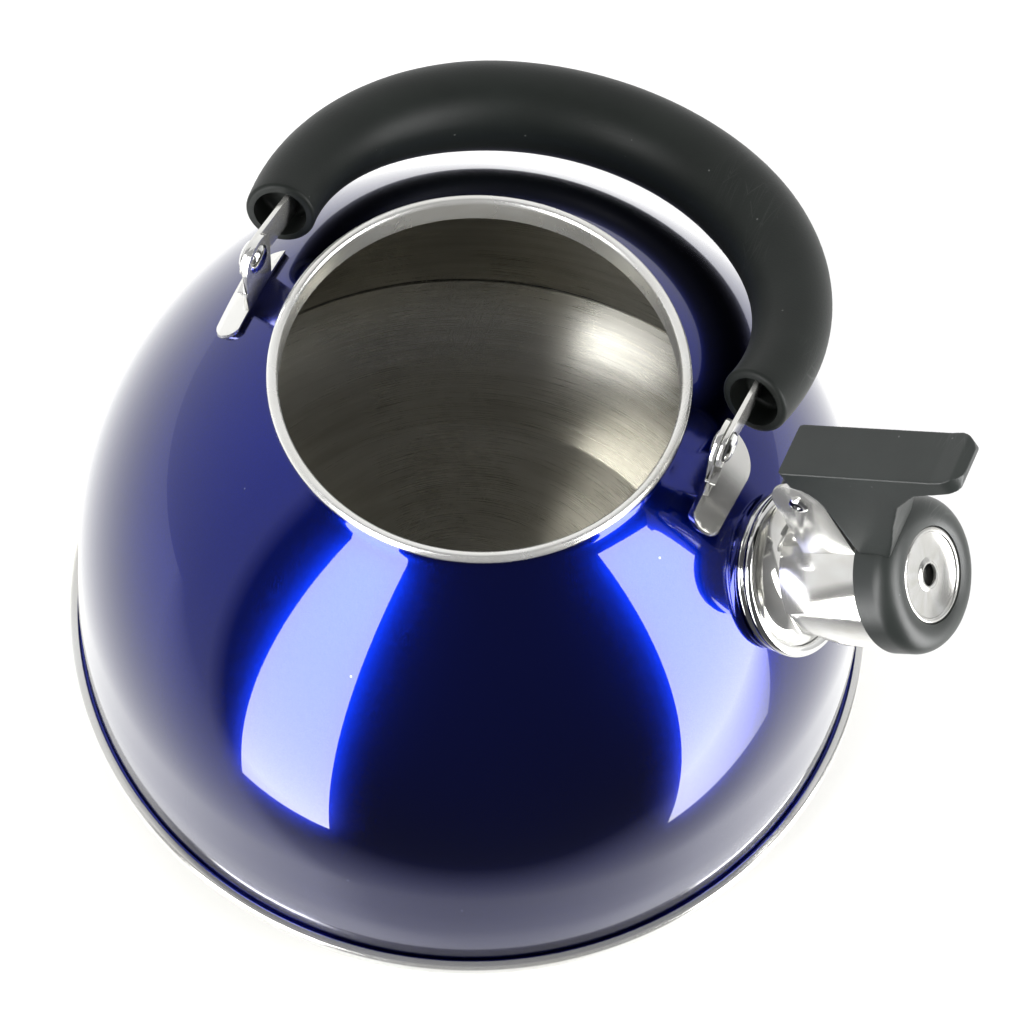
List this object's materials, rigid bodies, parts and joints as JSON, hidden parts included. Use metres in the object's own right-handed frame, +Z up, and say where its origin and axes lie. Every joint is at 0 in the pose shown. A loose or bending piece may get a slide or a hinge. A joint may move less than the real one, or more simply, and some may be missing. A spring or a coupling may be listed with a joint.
{
  "type": "whistling kettle",
  "caption": "Stovetop kettle: round steel body, wide open mouth, folding bail handle, and a short spout with a thumb-lever whistle cap.",
  "frame": {"origin": "on the table under the middle of the base, on the kettle's axis", "axes": "+Z up along the kettle's axis, +X towards the spout, +Y towards the folded handle"},
  "size_m": [0.2412, 0.22, 0.1911],
  "materials": {
    "blue_enamel": "gloss metallic",
    "brushed_steel": "brushed",
    "polished_steel": "polished",
    "chrome": "polished",
    "aluminium": "satin",
    "grip_plastic": "soft-touch matte",
    "lever_plastic": "satin",
    "seal_rubber": "matte"
  },
  "bodies": {
    "kettle": {"dome": "blue_enamel", "mouth_ring": "polished_steel", "bottom_pan": "brushed_steel", "seam_hoop": "polished_steel", "heat_disc": "aluminium", "base_cup": "brushed_steel", "spout_neck": "blue_enamel", "spout_ring": "chrome", "nozzle": "polished_steel", "nozzle_sleeve": "polished_steel", "lever_bracket": "polished_steel", "lever_pin": "chrome", "lever_spring": "polished_steel", "lug_front": "chrome", "lug_rear": "chrome", "hinge_rivets": "chrome"},
    "handle": {"grip": "grip_plastic", "strap_front": "polished_steel", "strap_rear": "polished_steel", "grip_pins": "polished_steel"},
    "lever": {"whistle_lever": "lever_plastic", "whistle_cap": "lever_plastic", "cap_seal": "seal_rubber", "whistle_front": "chrome", "whistle_back": "polished_steel"}
  },
  "joints": [
    {"name": "handle_fold", "type": "hinge", "parent": "kettle", "child": "handle", "pos_m": [0, 0.003, 0.1502], "axis": [1, 0, 0], "range_deg": [0, 211]},
    {"name": "lever_lift", "type": "hinge", "parent": "kettle", "child": "lever", "pos_m": [0.08643, 0, 0.15401], "axis": [0, -1, 0], "range_deg": [0, 24], "stiffness_Nm_per_rad": 0.06, "springref_deg": -20.05}
  ]
}
